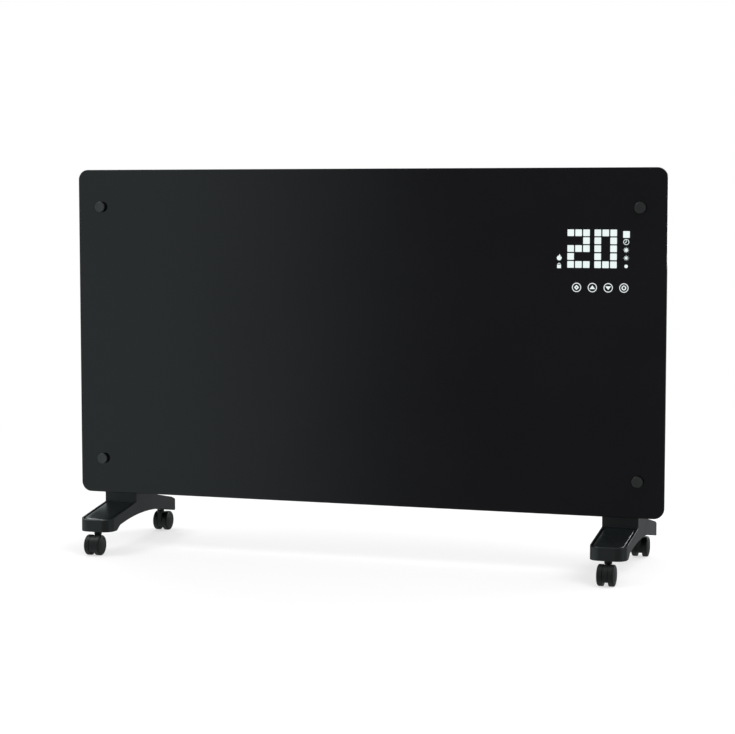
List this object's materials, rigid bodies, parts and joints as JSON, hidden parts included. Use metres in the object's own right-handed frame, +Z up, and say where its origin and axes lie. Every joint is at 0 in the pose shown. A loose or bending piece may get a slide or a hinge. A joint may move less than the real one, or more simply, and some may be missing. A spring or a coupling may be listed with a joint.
{
  "type": "glass panel heater",
  "caption": "Free-standing convector heater: black glass front on round studs, lit display, slim steel casing with top outlet, two feet on swivelling twin-wheel castors.",
  "frame": {"origin": "on the floor, midway between the four castors", "axes": "+X to the right seen from the front, +Y towards the back, +Z up; the glass faces -Y"},
  "size_m": [0.83, 0.256, 0.5289],
  "materials": {
    "black_glass": "polished toughened glass, black behind",
    "stud_metal": "satin black",
    "foot_plastic": "satin moulded, fine grain",
    "castor_plastic": "satin moulded",
    "casing_paint": "powder coat, fine texture",
    "grille_plastic": "moulded",
    "steel": "zinc plated",
    "aluminium": "extruded",
    "rubber": "matt",
    "circuit_board": "solder mask",
    "module_plastic": "moulded",
    "display_light": "translucent white, lit from behind"
  },
  "bodies": {
    "heater": {"front_glass": "black_glass", "glass_stud_tl": "stud_metal", "glass_stud_tr": "stud_metal", "glass_stud_bl": "stud_metal", "glass_stud_br": "stud_metal", "glass_grommet_tl": "rubber", "glass_grommet_tr": "rubber", "glass_grommet_bl": "rubber", "glass_grommet_br": "rubber", "light_mask": "display_light", "display_board": "circuit_board", "chassis_plate": "casing_paint", "rear_casing": "casing_paint", "casing_screw_tl": "steel", "casing_screw_tr": "steel", "casing_screw_bl": "steel", "casing_screw_br": "steel", "top_grille": "grille_plastic", "heating_element_lower": "aluminium", "heating_element_upper": "aluminium", "element_bracket_left": "steel", "element_bracket_right": "steel", "thermal_cutout": "steel", "tip_over_switch": "module_plastic", "temperature_probe": "module_plastic", "control_housing": "grille_plastic", "control_board": "circuit_board", "terminal_block": "module_plastic", "switch_housing": "grille_plastic", "cord_bushing": "rubber", "foot_body_left": "foot_plastic", "foot_body_right": "foot_plastic", "foot_cover_left": "foot_plastic", "foot_cover_right": "foot_plastic", "foot_screw_left_front": "steel", "foot_screw_left_rear": "steel", "foot_screw_right_front": "steel", "foot_screw_right_rear": "steel", "castor_stem_left_front": "steel", "castor_stem_left_rear": "steel", "castor_stem_right_front": "steel", "castor_stem_right_rear": "steel"},
    "rocker": {"switch_rocker": "grille_plastic"},
    "swivel_left_front": {"castor_hood_left_front": "castor_plastic", "castor_axle_left_front": "steel"},
    "swivel_left_rear": {"castor_hood_left_rear": "castor_plastic", "castor_axle_left_rear": "steel"},
    "swivel_right_front": {"castor_hood_right_front": "castor_plastic", "castor_axle_right_front": "steel"},
    "swivel_right_rear": {"castor_hood_right_rear": "castor_plastic", "castor_axle_right_rear": "steel"},
    "wheel_left_front_left": {"castor_wheel_left_front_left": "castor_plastic"},
    "wheel_left_front_right": {"castor_wheel_left_front_right": "castor_plastic"},
    "wheel_left_rear_left": {"castor_wheel_left_rear_left": "castor_plastic"},
    "wheel_left_rear_right": {"castor_wheel_left_rear_right": "castor_plastic"},
    "wheel_right_front_left": {"castor_wheel_right_front_left": "castor_plastic"},
    "wheel_right_front_right": {"castor_wheel_right_front_right": "castor_plastic"},
    "wheel_right_rear_left": {"castor_wheel_right_rear_left": "castor_plastic"},
    "wheel_right_rear_right": {"castor_wheel_right_rear_right": "castor_plastic"}
  },
  "joints": [
    {"name": "mains_switch", "type": "hinge", "parent": "heater", "child": "rocker", "pos_m": [0.345, 0.0287, 0.1587], "axis": [1, 0, 0], "range_deg": [-16, 0]},
    {"name": "swivel_left_front", "type": "hinge", "parent": "heater", "child": "swivel_left_front", "pos_m": [-0.357, -0.1045, 0], "axis": [0, 0, 1], "continuous": true},
    {"name": "swivel_left_rear", "type": "hinge", "parent": "heater", "child": "swivel_left_rear", "pos_m": [-0.357, 0.1045, 0], "axis": [0, 0, 1], "continuous": true},
    {"name": "swivel_right_front", "type": "hinge", "parent": "heater", "child": "swivel_right_front", "pos_m": [0.357, -0.1045, 0], "axis": [0, 0, 1], "continuous": true},
    {"name": "swivel_right_rear", "type": "hinge", "parent": "heater", "child": "swivel_right_rear", "pos_m": [0.357, 0.1045, 0], "axis": [0, 0, 1], "continuous": true},
    {"name": "roll_left_front_left", "type": "hinge", "parent": "swivel_left_front", "child": "wheel_left_front_left", "pos_m": [-0.357, -0.114, 0.014], "axis": [1, 0, 0], "continuous": true},
    {"name": "roll_left_front_right", "type": "hinge", "parent": "swivel_left_front", "child": "wheel_left_front_right", "pos_m": [-0.357, -0.114, 0.014], "axis": [1, 0, 0], "continuous": true},
    {"name": "roll_left_rear_left", "type": "hinge", "parent": "swivel_left_rear", "child": "wheel_left_rear_left", "pos_m": [-0.357, 0.114, 0.014], "axis": [1, 0, 0], "continuous": true},
    {"name": "roll_left_rear_right", "type": "hinge", "parent": "swivel_left_rear", "child": "wheel_left_rear_right", "pos_m": [-0.357, 0.114, 0.014], "axis": [1, 0, 0], "continuous": true},
    {"name": "roll_right_front_left", "type": "hinge", "parent": "swivel_right_front", "child": "wheel_right_front_left", "pos_m": [0.357, -0.114, 0.014], "axis": [1, 0, 0], "continuous": true},
    {"name": "roll_right_front_right", "type": "hinge", "parent": "swivel_right_front", "child": "wheel_right_front_right", "pos_m": [0.357, -0.114, 0.014], "axis": [1, 0, 0], "continuous": true},
    {"name": "roll_right_rear_left", "type": "hinge", "parent": "swivel_right_rear", "child": "wheel_right_rear_left", "pos_m": [0.357, 0.114, 0.014], "axis": [1, 0, 0], "continuous": true},
    {"name": "roll_right_rear_right", "type": "hinge", "parent": "swivel_right_rear", "child": "wheel_right_rear_right", "pos_m": [0.357, 0.114, 0.014], "axis": [1, 0, 0], "continuous": true}
  ]
}
